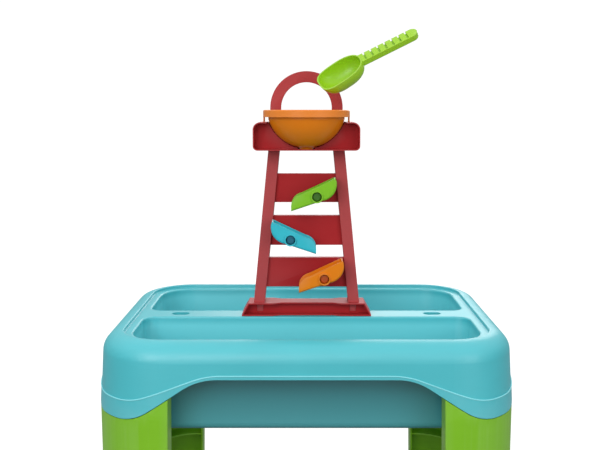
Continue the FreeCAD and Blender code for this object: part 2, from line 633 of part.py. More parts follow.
# ---------------------------------------------------------------- ladder frame: two leaning uprights, three panels with returns at the back
zt = D("frame_top")
yf, yb, w = D("frame_front"), D("frame_back"), D("frame_wall")
ol, il, ot, it = D("upright_out_low"), D("upright_in_low"), D("upright_out_top"), D("upright_in_top")
lo = D("base_top")
pieces, voids = [], []
for i, s in enumerate((-1, 1)):
    pieces.append(prism("upright_%d" % i, "XZ", [[(ol * s, lo), (il * s, lo), (it * s, zt), (ot * s, zt)]], yf, yb - yf))
    voids.append(prism("upright_void_%d" % i, "XZ", [[((ol - w) * s, lo + 3), ((il + w) * s, lo + 3), ((it + w) * s, zt - 3), ((ot - w) * s, zt - 3)]],
                       yf + w, yb - yf + 5))
    pieces.append(block("tongue_%d" % i, s * 84.5 - 5, s * 84.5 + 5, -22, 4, lo - 17.6, lo + 4))


def lean(inner_low, inner_top, z):
    t = (z - F("base_top")) / (F("frame_top") - F("base_top"))
    return F(inner_low) + (F(inner_top) - F(inner_low)) * t


pf = D("panel_front")
for tag in "abc":
    a, b = D("panel_%s_low" % tag), D("panel_%s_top" % tag)
    xa, xb = lean("upright_in_low", "upright_in_top", a.v) + 1.2, lean("upright_in_low", "upright_in_top", b.v) + 1.2
    pieces.append(prism("panel_" + tag, "XZ", [[(-xa, a), (xa, a), (xb, b), (-xb, b)]], pf, D("panel_deep")))
    xa -= 1.2
    xb -= 1.2
    voids.append(prism("panel_void_" + tag, "XZ", [[(-xa, a + w), (xa, a + w), (xb, b - w), (-xb, b - w)]], pf + w, D("panel_deep") + 5))
frame = minus("frame_open", joined("frame_block", pieces), joined("frame_voids", voids))
bosses, bores = [], []
for tag, sgn in (("a", 1), ("b", -1), ("c", 1)):
    hx, hz = D("hub_%s_x" % tag), D("hub_%s_z" % tag)
    bosses.append(rod("boss_" + tag, D("boss_rad"), yb - D("boss_front"), (hx, D("boss_front"), hz), "y"))
    bores.append(rod("boss_bore_" + tag, D("pin_rad") + 0.04, 80, (hx, -40, hz), "y"))


def arc_groove(hx, hz, sgn):
    """Curved slot in a boss face that limits the swing of a tipper's stop pin."""
    r, pr = F("stop_rad"), F("stop_pin_rad")
    half = math.degrees(math.asin((pr + 0.3) / r))
    start = 90.0 + F("tip_angle") * sgn
    a0, a1 = (start - F("tip_swing") - half, start + half) if sgn > 0 else (start - half, start + F("tip_swing") + half)
    pie = Part.makeCylinder(r + pr + 0.3, 3.2, V(0, 0, 0), V(0, 0, 1), a1 - a0).cut(Part.makeCylinder(r - pr - 0.3, 3.2))
    pie.rotate(V(0, 0, 0), V(0, 0, 1), a0)
    pie.rotate(V(0, 0, 0), V(1, 0, 0), 90)
    pie.translate(V(hx, F("boss_front") + 3.2 - 0.001, hz))
    return pie


grooves = []
for tag, sgn in (("a", 1), ("b", -1), ("c", 1)):
    g = doc.addObject("Part::Feature", "boss_groove_" + tag)
    g.Shape = arc_groove(F("hub_%s_x" % tag), F("hub_%s_z" % tag), sgn)
    grooves.append(g)
tops = [rod("frame_top_pilot_%d" % i, 1.66, 20, (s * 57.5, -9, zt - 18)) for i, s in enumerate((-1, 1))]
foots = [rod("frame_foot_pilot_%d" % i, 1.66, 17, (s * 84.5, -9, lo - 18)) for i, s in enumerate((-1, 1))]
towers = [block("frame_top_boss_%d" % i, s * 57.5 - 5, s * 57.5 + 5, -14, -4, zt - 18, zt - 1) for i, s in enumerate((-1, 1))]
frame = minus("frame_cut", joined("frame_with_bosses", [frame] + bosses + towers), joined("frame_holes", bores + grooves + tops + foots))
node(frame, "ladder_frame")

# ---------------------------------------------------------------- sieve cradle: shelf box open to the front with a U-shaped cut-out
ch, cl, ct = D("cradle_half"), D("cradle_low"), D("cradle_top")
cf, cb, w = D("cradle_front"), D("cradle_back"), D("cradle_wall")
rt, rl = D("cradle_round_top"), D("cradle_round_low")
b = new_body("cradle_body")
sk = body_sketch(b, "XZ_Plane", [rounded(-ch, ch, cl, ct, [rl, rl, rt, rt])], -cb)
solid_feature(b, "Pad", sk, cb - cf)
sk = body_sketch(b, "XZ_Plane", [rounded(-ch + w, ch - w, cl + w, ct - w, [rl - w, rl - w, rt - w, rt - w])], w - cb)
v0 = b.Shape.Volume
solid_feature(b, "Pocket", sk, cb - cf, True)
by, cc, sc = D("bowl_y"), D("cradle_cut"), D("spout_cut")
sk = body_sketch(b, "XY_Plane", [[(-cc, cf - 5), (cc, cf - 5), (cc, by), ("arc", (0, by.v + cc.v), (-cc, by), "", (0, by))]], ct - 12)
solid_feature(b, "Pocket", sk, 20, True)
sk = body_sketch(b, "XY_Plane", [["circle", 0, by, sc]], cl - 5)
solid_feature(b, "Pocket", sk, 12, True)
sk = body_sketch(b, "XY_Plane", [["circle", -57.5, -9, 1.9], ["circle", 57.5, -9, 1.9]], cl - 5)
solid_feature(b, "Pocket", sk, 12, True)
sk = body_sketch(b, "XZ_Plane", [["circle", -55.8, 741, 1.66], ["circle", 55.8, 741, 1.66]], -15)
solid_feature(b, "Pocket", sk, 12, False)
# curved rest for the bowl: a thin wall under its middle, hollowed to the bowl's outline
k = math.sqrt(0.5)
rw, rv = rt - 1, rl - 1
web = [[(-ch + rl, cl + 1), (-14.8, cl + 1), (-14.8, cl + 4.4), (-18.4, cl + 4.8), ("arc", (-49.7, 738.0), (-65.6, 761.9)), (-ch + rt, ct - 1),
        ("arc", (-ch.v + rt.v - rw.v * k, ct.v - rt.v + rw.v * k), (-ch + 1, ct - rt), "", (-ch + rt, ct - rt)), (-ch + 1, cl + rl),
        ("arc", (-ch.v + rl.v - rv.v * k, cl.v + rl.v - rv.v * k), (-ch + rl, cl + 1), "close", (-ch + rl, cl + rl))],
       [(ch - rl, cl + 1), ("arc", (ch.v - rl.v + rv.v * k, cl.v + rl.v - rv.v * k), (ch - 1, cl + rl), "", (ch - rl, cl + rl)), (ch - 1, ct - rt),
        ("arc", (ch.v - rt.v + rw.v * k, ct.v - rt.v + rw.v * k), (ch - rt, ct - 1), "", (ch - rt, ct - rt)), (65.6, 761.9),
        ("arc", (49.7, 738.0), (18.4, cl + 4.8)), (14.8, cl + 4.4), (14.8, cl + 1)]]
sk = body_sketch(b, "XZ_Plane", web, 49.0)
solid_feature(b, "Pad", sk, 2.5)
sk = body_sketch(b, "XY_Plane", [["circle", 0, by, sc]], cl - 5)
solid_feature(b, "Pocket", sk, 12, True)
node(b, "sieve_cradle")

# ---------------------------------------------------------------- tower handle: arch channel, open to the back
go, gi, gz, gl, gd, w = D("grip_out"), D("grip_in"), D("grip_z"), D("grip_low"), D("grip_deep"), D("grip_wall")
b = new_body("handle_body")
sk = body_sketch(b, "XZ_Plane", [[(-go, gl), (-gi, gl), (-gi, gz), ("arc", (0, gz.v + gi.v), (gi, gz), "", (0, gz)), (gi, gl), (go, gl), (go, gz),
                                 ("arc", (0, gz.v + go.v), (-go, gz), "", (0, gz))]], -(cb + 0.05 + gd))
solid_feature(b, "Pad", sk, gd)
a, c = go - w, gi + w
sk = body_sketch(b, "XZ_Plane", [[(-a, gl + w), (-c, gl + w), (-c, gz), ("arc", (0, gz.v + c.v), (c, gz), "", (0, gz)), (c, gl + w), (a, gl + w), (a, gz),
                                 ("arc", (0, gz.v + a.v), (-a, gz), "", (0, gz))]], -(cb + gd + 5))
solid_feature(b, "Pocket", sk, gd + 5 - w, True)
sk = body_sketch(b, "XZ_Plane", [["circle", -55.8, 741, 1.9], ["circle", 55.8, 741, 1.9]], -(cb + gd + 5))
solid_feature(b, "Pocket", sk, gd + 20, True)
node(b, "tower_handle")

# ---------------------------------------------------------------- sieve bowl: turned shell with lipped rim, ears and sieve holes
b = new_body("bowl_body")
rr, rz, rlw = D("bowl_rim_rad"), D("bowl_rim_top"), D("bowl_rim_low")
br, w, bz, sp = D("bowl_rad"), D("bowl_wall"), D("bowl_bottom"), D("bowl_spout_rad")
ri = br - w
sk = body_sketch(b, "XZ_Plane", [[
    (0, bz), (sp, bz), (sp + 2.2, bz + 2.2), (16.5, 720.4), ("arc", (48.5, 738.4), (br, rlw - 3.8)), (br, rz - w),
    (rr - w, rz - w), (rr - w, rlw), (rr, rlw), (rr, rz - 1.5), (rr - 1.5, rz), (ri + 1.2, rz), (ri, rz - 1.2),
    (ri, rlw - 3.8), ("arc", (46.6, 740.1), (15.2, 722.7)), (sp, bz + 4.6), (sp - 1.6, bz + w), (0, bz + w)]], 55.0)
sk.setExpression("AttachmentOffset.Base.z", "0 - Dim.bowl_y")
turned(b, sk)
sk = body_sketch(b, "XY_Plane", [["circle", 0, D("bowl_y"), D("sieve_hole_rad")]] +
                 [["circle", F("sieve_ring_rad") * math.cos(math.radians(60 * i)),
                   F("bowl_y") + F("sieve_ring_rad") * math.sin(math.radians(60 * i)), D("sieve_hole_rad")] for i in range(6)], bz - 2)
solid_feature(b, "Pocket", sk, 6, True)
tl = D("bowl_tab_low")
y0 = D("bowl_y")
sk = body_sketch(b, "XY_Plane", [rounded(72.0, 74.6, y0 - 6, y0 + 6, [0.8] * 4), rounded(-74.6, -72.0, y0 - 6, y0 + 6, [0.8] * 4)], tl)
solid_feature(b, "Pad", sk, rz - tl - 2)
node(b, "sieve_bowl")


# ---------------------------------------------------------------- tippers: open-topped troughs with a hub
def tipper(sgn):
    """Trough in its own frame, hub at the origin, pour end at -x, floor level. sgn -1 mirrors it."""
    P = lambda x, z, y=0.0: V(x, y, z)
    yf, yb, w = F("tip_front"), F("tip_back"), F("tip_wall")

    def side(dz, pts_y, extra):
        a = [Part.makeLine(P(-50.5 - extra, -9.8 + dz), P(7.0, -9.8 + dz))]
        a.append(Part.Arc(P(7.0, -9.8 + dz), P(30.5 - dz * 0.75, -3.6 + dz * 0.75), P(40.6 - dz, 13.0)).toShape())
        return a

    outer = side(0, 0, 0)
    outer += [Part.makeLine(P(40.6, 13.0), P(41.0, 20.6)), Part.makeLine(P(41.0, 20.6), P(-24.0, 13.0)),
              Part.Arc(P(-24.0, 13.0), P(-39.6, 9.2), P(-47.6, -0.5)).toShape(), Part.makeLine(P(-47.6, -0.5), P(-50.5, -9.8))]
    body = Part.Face(Part.Wire(outer)).extrude(V(0, yb - yf, 0))
    keel = [e for e in body.Edges if (abs(e.BoundBox.YMin - e.BoundBox.YMax) < 1e-6 and e.BoundBox.ZMax < 13.2
                                      and e.BoundBox.ZMin < -9.7 and (e.BoundBox.XMax - e.BoundBox.XMin) > 20)]
    body = body.makeFillet(4.0, keel)
    inn = side(w, 0, 12)
    inn += [Part.makeLine(P(40.6 - w, 13.0), P(40.6 - w, 40)), Part.makeLine(P(40.6 - w, 40), P(-62.5, 40)),
            Part.makeLine(P(-62.5, 40), P(-62.5, -9.8 + w))]
    void = Part.Face(Part.Wire(inn)).extrude(V(0, yb - yf - 2 * w, 0))
    void.translate(V(0, w, 0))
    keel = [e for e in void.Edges if (abs(e.BoundBox.YMin - e.BoundBox.YMax) < 1e-6 and e.BoundBox.ZMax < -9.7 + w)]
    void = void.makeFillet(2.2, keel)
    body = body.cut(void)
    body.translate(V(0, yf, 0))
    Y = V(0, 1, 0)
    cup = Part.makeCylinder(F("hub_rad"), F("hub_recess_y") + w - F("hub_front"), V(0, F("hub_front"), 0), Y)
    body = body.fuse(cup)
    body = body.fuse(Part.makeCylinder(F("hub_tube_rad"), F("hub_back") - F("hub_recess_y"), V(0, F("hub_recess_y"), 0), Y))
    body = body.fuse(Part.makeCylinder(F("hub_rad"), F("hub_back") - yb + w, V(0, yb - w, 0), Y))
    body = body.cut(Part.makeCylinder(F("hub_recess_rad"), F("hub_recess_y") - F("hub_front") + 1, V(0, F("hub_front") - 1, 0), Y))
    body = body.cut(Part.makeCylinder(F("pin_bore_rad"), 90, V(0, -90, 0), Y))
    body = body.fuse(Part.makeCylinder(F("stop_pin_rad"), 2.9 + 1.5, V(0, F("hub_back") - 1.5, F("stop_rad")), Y))
    body = body.removeSplitter()
    if sgn < 0:
        body = body.mirror(V(0, 0, 0), V(1, 0, 0))
    return as_solid(body)


for nm, tag, sgn in (("upper", "a", 1), ("middle", "b", -1), ("lower", "c", 1)):
    hx, hz = D("hub_%s_x" % tag), D("hub_%s_z" % tag)
    feature(nm + "_tipper", tipper(sgn),
            FreeCAD.Placement(V(hx.v, 0, hz.v), FreeCAD.Rotation(V(0, 1, 0), -F("tip_angle") * sgn)))
    # pivot pin: turned shank with a retaining flange; snap cap on its front end
    b = new_body(nm + "_pin_body")
    r, fr = D("pin_rad"), D("pin_flange_rad")
    sk = body_sketch(b, "XY_Plane", [[(0, -66.2), (3.0, -66.2), (3.0, -66.0), (fr, -66.0), (fr, -63.8), (r, -63.8), (r, 8.5), (r - 1, 9.5), (0, 9.5)]])
    turned(b, sk)
    b.Placement.Base = V(hx.v, 0, hz.v)
    b.setExpression("Placement.Base.x", hx.e)
    b.setExpression("Placement.Base.z", hz.e)
    node(b, nm + "_pivot_pin")
    b = new_body(nm + "_cap_body")
    sk = body_sketch(b, "XY_Plane", [[(0, -69.6), (5.2, -69.6), (6.6, -69.2), (fr - 0.2, -68.2), (fr - 0.2, -66.25), (0, -66.25)]])
    turned(b, sk)
    b.Placement.Base = V(hx.v, 0, hz.v)
    b.setExpression("Placement.Base.x", hx.e)
    b.setExpression("Placement.Base.z", hz.e)
    node(b, nm + "_pin_cap")


# ---------------------------------------------------------------- scoop: deep ladle with a ribbed grip, held over the bowl
def make_scoop():
    pa, ro = math.radians(F("scoop_pitch")), math.radians(F("scoop_roll"))
    u = V(math.cos(pa), 0, math.sin(pa))
    nrm = V(-math.sin(pa) * math.cos(ro), -math.sin(ro), math.cos(pa) * math.cos(ro))
    wid = nrm.cross(u)
    c0 = V(F("scoop_x"), F("scoop_y"), F("scoop_z"))
    A, B, H, t = F("scoop_half_long"), F("scoop_half_wide"), F("scoop_deep"), F("scoop_wall")

    def ring(depth, a, b, shift):
        pts = []
        n = 28
        for i in range(n):
            th = 2 * math.pi * i / n
            cx, sy = math.cos(th), math.sin(th)
            e = 2.0 / (3.4 if cx < 0 else 2.3)
            x = a * math.copysign(abs(cx) ** e, cx) + shift
            y = b * math.copysign(abs(sy) ** e, sy)
            pts.append(c0 + u * x + wid * y - nrm * depth)
        bs = Part.BSplineCurve()
        bs.interpolate(Points=pts, PeriodicFlag=True)
        return Part.Wire(bs.toShape())

    def cup(a, b, hh, over):
        wires = []
        if over:
            wires.append(ring(-over, a, b, 0))
        for f in (0.0, 0.25, 0.5, 0.72, 0.88, 0.97):
            s = (1 - f ** 2.4) ** (1 / 2.0)
            wires.append(ring(hh * f, a * s, b * s, 5.0 * f))
        return Part.makeLoft(wires, True, False)

    outer = cup(A, B, H, 0)
    inner = cup(A - t, B - t, H - t, 4.0)
    head = outer.cut(inner)
    gp = math.radians(F("scoop_grip_pitch"))
    ax = V(math.cos(gp), 0, math.sin(gp))
    gn = nrm - ax * nrm.dot(ax)
    gn.normalize()
    gw = gn.cross(ax)
    L, W, T = F("scoop_grip_long"), F("scoop_grip_wide"), F("scoop_grip_thick")
    start = c0 + u * (A - 3.5) - gn * 1.0
    m = FreeCAD.Matrix(ax.x, gw.x, gn.x, start.x, ax.y, gw.y, gn.y, start.y, ax.z, gw.z, gn.z, start.z, 0, 0, 0, 1)
    bar = Part.makeBox(L, W, T, V(0, -W / 2, -T))
    ends = [e for e in bar.Edges if e.BoundBox.ZLength > T - 0.1 and e.BoundBox.XMin > L - 0.1]
    bar = bar.makeFillet(W / 2 - 0.2, ends)
    for i in range(7):
        x = 10.0 + 13.2 * i
        bar = bar.cut(Part.makeBox(3.2, W, 5.3, V(x, -W / 2 + 2.4, -4.5)))
    longs = [e for e in bar.Edges if e.BoundBox.XLength > 60 and e.BoundBox.ZMax < -T + 0.1]
    bar = try_round(bar, longs, 3.0)
    bar.Placement = FreeCAD.Placement(m)
    whole = head.fuse(bar.cut(inner)).removeSplitter()
    best = max(whole.Solids, key=lambda s: s.Volume)
    return best


feature("scoop", make_scoop())

scr = []
for s in (-1, 1):
    scr.append(screw(V(s * 84.5, -9, F("base_bottom") + 3.0), V(0, 0, 1)))
    scr.append(screw(V(s * 57.5, -9, F("cradle_low") + F("cradle_wall")), V(0, 0, -1)))
    scr.append(screw(V(s * 55.8, F("cradle_back") + 0.05 + F("grip_wall"), 741), V(0, -1, 0)))
feature("tower_screws", Part.makeCompound(scr))

# ---------------------------------------------------------------- checks and export
doc.recompute()
bad = [o.Label for o in doc.Objects if ("Invalid" in o.State or "Error" in o.State)]
if bad:
    raise SystemExit("failed objects: " + ", ".join(bad))
for name, obj in nodes.items():
    s = obj.Shape
    if s.isNull() or not s.isValid() or s.Volume <= 0:
        raise SystemExit("bad shape: " + name)
    print("%-20s solids %d  volume %9.0f  box %s" % (name, len(s.Solids), s.Volume, s.BoundBox))
for name, obj in nodes.items():
    obj.Shape.exportStep("parts/%s.step" % name)
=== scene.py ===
import bpy, bmesh, math, random
from mathutils import Vector, Matrix


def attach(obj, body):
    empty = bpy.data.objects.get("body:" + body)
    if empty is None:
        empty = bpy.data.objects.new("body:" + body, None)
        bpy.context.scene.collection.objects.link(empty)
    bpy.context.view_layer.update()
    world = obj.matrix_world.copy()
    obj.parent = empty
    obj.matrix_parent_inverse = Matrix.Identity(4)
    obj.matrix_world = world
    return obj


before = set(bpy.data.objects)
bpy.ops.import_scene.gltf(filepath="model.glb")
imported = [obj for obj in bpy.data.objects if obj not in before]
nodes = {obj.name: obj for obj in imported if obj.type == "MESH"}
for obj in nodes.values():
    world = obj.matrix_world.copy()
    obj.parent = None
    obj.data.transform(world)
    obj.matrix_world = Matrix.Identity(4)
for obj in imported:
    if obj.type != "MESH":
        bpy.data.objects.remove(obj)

random.seed(7)
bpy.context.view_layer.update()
scene = bpy.context.scene


# ------------------------------------------------------------------ helpers
def node_tree(name):
    m = bpy.data.materials.new(name)
    m.use_nodes = True
    nt = m.node_tree
    nt.nodes.clear()
    out = nt.nodes.new("ShaderNodeOutputMaterial")
    bsdf = nt.nodes.new("ShaderNodeBsdfPrincipled")
    nt.links.new(bsdf.outputs["BSDF"], out.inputs["Surface"])
    return m, nt, bsdf


def add(nt, kind, **kw):
    n = nt.nodes.new(kind)
    for k, v in kw.items():
        setattr(n, k, v)
    return n


def math_node(nt, op, a, b=None, clamp=False):
    n = add(nt, "ShaderNodeMath", operation=op, use_clamp=clamp)
    for i, v in enumerate((a, b)):
        if v is None:
            continue
        if isinstance(v, (int, float)):
            n.inputs[i].default_value = v
        else:
            nt.links.new(v, n.inputs[i])
    return n.outputs[0]


def noise(nt, vec, scale, detail=2.0, rough=0.5, dist=0.0):
    n = add(nt, "ShaderNodeTexNoise")
    n.inputs["Scale"].default_value = scale
    n.inputs["Detail"].default_value = detail
    n.inputs["Roughness"].default_value = rough
    n.inputs["Distortion"].default_value = dist
    nt.links.new(vec, n.inputs["Vector"])
    return n.outputs["Fac"]


def ramp(nt, fac, stops):
    n = add(nt, "ShaderNodeMapRange")
    n.inputs["From Min"].default_value, n.inputs["From Max"].default_value = stops[0], stops[1]
    n.inputs["To Min"].default_value, n.inputs["To Max"].default_value = stops[2], stops[3]
    nt.links.new(fac, n.inputs["Value"])
    return n.outputs[0]


def srgb(c):
    return tuple((v / 255 / 12.92) if v / 255 <= 0.04045 else ((v / 255 + 0.055) / 1.055) ** 2.4 for v in c)


def plastic(name, rgb, rough=0.40, grain=0.05, sss=0.03, spec=0.40, tone=0.045, wear_and_edge_highlight=0.12, soft=0.0008, shade=None, coat=0.0):
    """Moulded plastic: fine spark-eroded grain, faint flow marks, slight tone drift, softened edges a touch paler
    from edge wear and painted highlight.
    """
    m, nt, b = node_tree(name)
    geo = add(nt, "ShaderNodeNewGeometry")
    co = add(nt, "ShaderNodeTexCoord").outputs["Object"]
    base = srgb(rgb)
    big = noise(nt, co, 6.0, 2.0, 0.5, 0.4)
    fine = noise(nt, co, 520.0, 1.0, 0.5)
    flow_map = add(nt, "ShaderNodeMapping")
    flow_map.inputs["Scale"].default_value = (9.0, 9.0, 60.0)
    nt.links.new(co, flow_map.inputs["Vector"])
    flow = noise(nt, flow_map.outputs["Vector"], 1.0, 3.0, 0.6, 0.8)
    scuff_map = add(nt, "ShaderNodeMapping")
    scuff_map.inputs["Scale"].default_value = (40.0, 300.0, 90.0)
    scuff_map.inputs["Rotation"].default_value = (0.4, 0.7, 0.5)
    nt.links.new(co, scuff_map.inputs["Vector"])
    scuff = ramp(nt, noise(nt, scuff_map.outputs["Vector"], 1.0, 4.0, 0.7), (0.60, 0.72, 0.0, 1.0))
    dark = tuple(v * (1 - tone) for v in base)
    lite = tuple(min(1, v * (1 + tone) + 0.003) for v in base)
    mix = add(nt, "ShaderNodeMix", data_type="RGBA")
    mix.inputs["A"].default_value = (*dark, 1)
    mix.inputs["B"].default_value = (*lite, 1)
    f = math_node(nt, "ADD", math_node(nt, "MULTIPLY", big, 0.7), math_node(nt, "MULTIPLY", flow, 0.3))
    nt.links.new(ramp(nt, f, (0.3, 0.7, 0.0, 1.0)), mix.inputs["Factor"])
    # convex edges mixed towards white: part edge wear, part painted highlight
    edge = ramp(nt, geo.outputs["Pointiness"], (0.52, 0.60, 0.0, wear_and_edge_highlight))
    mix2 = add(nt, "ShaderNodeMix", data_type="RGBA")
    nt.links.new(edge, mix2.inputs["Factor"])
    nt.links.new(mix.outputs["Result"], mix2.inputs["A"])
    mix2.inputs["B"].default_value = (*[v + (1 - v) * 0.40 for v in base], 1)
    colour = mix2.outputs["Result"]
    if shade:
        colour = shade(nt, geo, co, colour)
    nt.links.new(colour, b.inputs["Base Color"])
    r = math_node(nt, "ADD", ramp(nt, big, (0.3, 0.7, rough - 0.04, rough + 0.04)), math_node(nt, "MULTIPLY", scuff, 0.08))
    nt.links.new(r, b.inputs["Roughness"])
    h = math_node(nt, "ADD", math_node(nt, "MULTIPLY", fine, 1.0), math_node(nt, "MULTIPLY", flow, 0.35))
    bump = add(nt, "ShaderNodeBump")
    bump.inputs["Strength"].default_value = grain
    bump.inputs["Distance"].default_value = 0.0005
    nt.links.new(h, bump.inputs["Height"])
    if soft:
        bev = add(nt, "ShaderNodeBevel", samples=6)
        bev.inputs["Radius"].default_value = soft
        nt.links.new(bev.outputs["Normal"], bump.inputs["Normal"])
    nt.links.new(bump.outputs["Normal"], b.inputs["Normal"])
    b.inputs["Specular IOR Level"].default_value = spec
    b.inputs["Coat Weight"].default_value = coat
    b.inputs["Coat Roughness"].default_value = 0.38
    b.inputs["Subsurface Weight"].default_value = sss
    b.inputs["Subsurface Radius"].default_value = (0.004, 0.004, 0.004)
    return m


def painted_shade_under_basins(nt, geo, co, colour):
    """Painted shade: darker tint on each basin's outer walls under the skirt. The plastic is one colour."""
    sep = add(nt, "ShaderNodeSeparateXYZ")
    nt.links.new(co, sep.inputs[0])
    nor = add(nt, "ShaderNodeSeparateXYZ")
    nt.links.new(geo.outputs["Normal"], nor.inputs[0])
    x, y, z = sep.outputs
    out = math_node(nt, "ADD", math_node(nt, "MULTIPLY", x, nor.outputs[0]), math_node(nt, "MULTIPLY", y, nor.outputs[1]))
    m = math_node(nt, "GREATER_THAN", out, 0.02)
    ax, ay = math_node(nt, "ABSOLUTE", x), math_node(nt, "ABSOLUTE", y)
    for v, lim in ((ax, 0.302), (ay, 0.212)):
        m = math_node(nt, "MULTIPLY", m, math_node(nt, "LESS_THAN", v, lim))
    far = math_node(nt, "MAXIMUM", math_node(nt, "GREATER_THAN", ax, 0.268), math_node(nt, "GREATER_THAN", ay, 0.178))
    m = math_node(nt, "MULTIPLY", m, far)
    m = math_node(nt, "MULTIPLY", m, math_node(nt, "LESS_THAN", z, 0.405))
    # painted shade is strongest just under the skirt and eases towards the bottom
    depth = ramp(nt, z, (0.26, 0.370, 0.55, 1.0))
    m = math_node(nt, "MULTIPLY", m, depth)
    mix = add(nt, "ShaderNodeMix", data_type="RGBA")
    nt.links.new(m, mix.inputs["Factor"])
    nt.links.new(colour, mix.inputs["A"])
    # painted shade colour: dark teal
    mix.inputs["B"].default_value = (0.0, 0.125, 0.145, 1)
    return mix.outputs["Result"]


TEAL = (57, 180, 191)


def painted_light_and_shade_in_basins(nt, geo, co, colour):
    """Painted light and shade, tinted by place on the object: paler inside each basin, darker outside. The plastic is
    one colour.
    """
    sep = add(nt, "ShaderNodeSeparateXYZ")
    nt.links.new(co, sep.inputs[0])
    x, y, z = sep.outputs
    nor = add(nt, "ShaderNodeSeparateXYZ")
    nt.links.new(geo.outputs["Normal"], nor.inputs[0])
    ax, ay = math_node(nt, "ABSOLUTE", x), math_node(nt, "ABSOLUTE", y)
    m = math_node(nt, "MULTIPLY", math_node(nt, "LESS_THAN", ax, 0.302), math_node(nt, "LESS_THAN", ay, 0.212))
    m = math_node(nt, "MULTIPLY", m, math_node(nt, "LESS_THAN", math_node(nt, "ABSOLUTE", nor.outputs[2]), 0.6))
    m = math_node(nt, "MULTIPLY", m, ramp(nt, z, (0.408, 0.398, 0.0, 0.80)))
    mix = add(nt, "ShaderNodeMix", data_type="RGBA")
    nt.links.new(m, mix.inputs["Factor"])
    nt.links.new(colour, mix.inputs["A"])
    # painted light colour: paler teal on the inner basin walls
    mix.inputs["B"].default_value = (*srgb((104, 208, 217)), 1)
    return painted_shade_under_basins(nt, geo, co, mix.outputs["Result"])


def metal(name):
    m, nt, b = node_tree(name)
    co = add(nt, "ShaderNodeTexCoord").outputs["Object"]
    b.inputs["Metallic"].default_value = 1.0
    f = noise(nt, co, 400.0, 3.0)
    mix = add(nt, "ShaderNodeMix", data_type="RGBA")
    mix.inputs["A"].default_value = (0.45, 0.45, 0.46, 1)
    mix.inputs["B"].default_value = (0.62, 0.62, 0.64, 1)
    nt.links.new(f, mix.inputs["Factor"])
    nt.links.new(mix.outputs["Result"], b.inputs["Base Color"])
    nt.links.new(ramp(nt, f, (0.3, 0.7, 0.28, 0.42)), b.inputs["Roughness"])
    return m


MAT = {
    # the tub's teal carries painted light and shade on the basin walls
    "tub": plastic("teal_plastic", TEAL, rough=0.44, spec=0.9, soft=0.0012, shade=painted_light_and_shade_in_basins, coat=0.2),
    # painted highlight: the skirt bead is the tub's teal plastic, coloured paler to show a bright line along it
    "bead": plastic("teal_bead_painted_highlight", (128, 214, 222), rough=0.35, soft=0.0),
    "leg": plastic("lime_plastic", (120, 182, 22)),
    "tower": plastic("red_plastic", (172, 38, 42), rough=0.42, spec=0.10),
    "orange": plastic("orange_plastic", (228, 126, 6), rough=0.36, sss=0.05, spec=0.25),
    "green": plastic("green_plastic", (124, 190, 24), rough=0.36),
    "blue": plastic("blue_plastic", (44, 182, 198), rough=0.36),
    "green_cap": plastic("green_cap", (52, 104, 12), rough=0.5, grain=0.1),
    "blue_cap": plastic("blue_cap", (8, 98, 122), rough=0.5, grain=0.1),
    "orange_cap": plastic("orange_cap", (176, 72, 6), rough=0.5, grain=0.1),
    "scoop": plastic("scoop_plastic", (154, 204, 30), rough=0.32, sss=0.05),
    "plug": plastic("plug_plastic", (52, 158, 172)),
    "screw": metal("screw_steel"),
}
USE = {"tub": "tub", "leg_screws": "screw", "tower_screws": "screw", "front_drain_plug": "plug", "rear_drain_plug": "plug",
       "sieve_bowl": "orange", "scoop": "scoop", "upper_tipper": "green", "upper_pin_cap": "green_cap",
       "middle_tipper": "blue", "middle_pin_cap": "blue_cap", "lower_tipper": "orange", "lower_pin_cap": "orange_cap"}
for name, o in nodes.items():
    key = USE.get(name) or ("leg" if name.endswith("_leg") else "tower")
    o.data.materials.clear()
    o.data.materials.append(MAT[key])
    flat = o.modifiers.new("flat_faces", "DECIMATE")
    flat.decimate_type = "DISSOLVE"
    flat.angle_limit = math.radians(0.4)
    wn = o.modifiers.new("weighted_normals", "WEIGHTED_NORMAL")
    wn.mode = "FACE_AREA"
    wn.weight = 100
    wn.keep_sharp = True

# ------------------------------------------------------------------ bead round the skirt
HX, HY, CR, TZ = 0.3413, 0.2510, 0.1100, 0.3870
TAN = math.tan(math.radians(3.5))


def scallop(u, flat, arc, slope, high, low):
    """Height of one scalloped edge at distance u from the middle of its side."""
    s, c = math.sin(math.radians(slope)), math.cos(math.radians(slope))
    drop = arc * (1 - c)
    x1 = flat + arc * s
    run = (high - low - 2 * drop) / math.tan(math.radians(slope))
    x2 = x1 + run
    x3 = x2 + arc * s
    u = abs(u)
    if u <= flat:
        return high
    if u <= x1:
        return high - arc + math.sqrt(arc * arc - (u - flat) ** 2)
    if u <= x2:
        return high - drop - (u - x1) * math.tan(math.radians(slope))
    if u <= x3:
        return low + arc - math.sqrt(arc * arc - (x3 - u) ** 2)
    return low


def bead_z(x, y):
    return max(scallop(x, 0.135, 0.130, 20.0, 0.370, 0.3263), scallop(y, 0.038, 0.130, 20.0, 0.370, 0.3263))


def outline(step=0.0035):
    """Points round the rounded plan with their outward directions."""
    sx, sy = HX - CR, HY - CR
    pts = []

    def side(p, q, n):
        length = math.dist(p, q)
        k = max(2, int(length / step))
        for i in range(k):
            t = i / k
            pts.append((p[0] + (q[0] - p[0]) * t, p[1] + (q[1] - p[1]) * t, n[0], n[1]))

    def corner(cx, cy, a0):
        k = int(CR * math.pi / 2 / step)
        for i in range(k):
            a = a0 + math.pi / 2 * i / k
            pts.append((cx + CR * math.cos(a), cy + CR * math.sin(a), math.cos(a), math.sin(a)))

    side((-sx, -HY), (sx, -HY), (0, -1))
    corner(sx, -sy, -math.pi / 2)
    side((HX, -sy), (HX, sy), (1, 0))
    corner(sx, sy, 0)
    side((sx, HY), (-sx, HY), (0, 1))
    corner(-sx, sy, math.pi / 2)
    side((-HX, sy), (-HX, -sy), (-1, 0))
    corner(-sx, -sy, math.pi)
    return pts


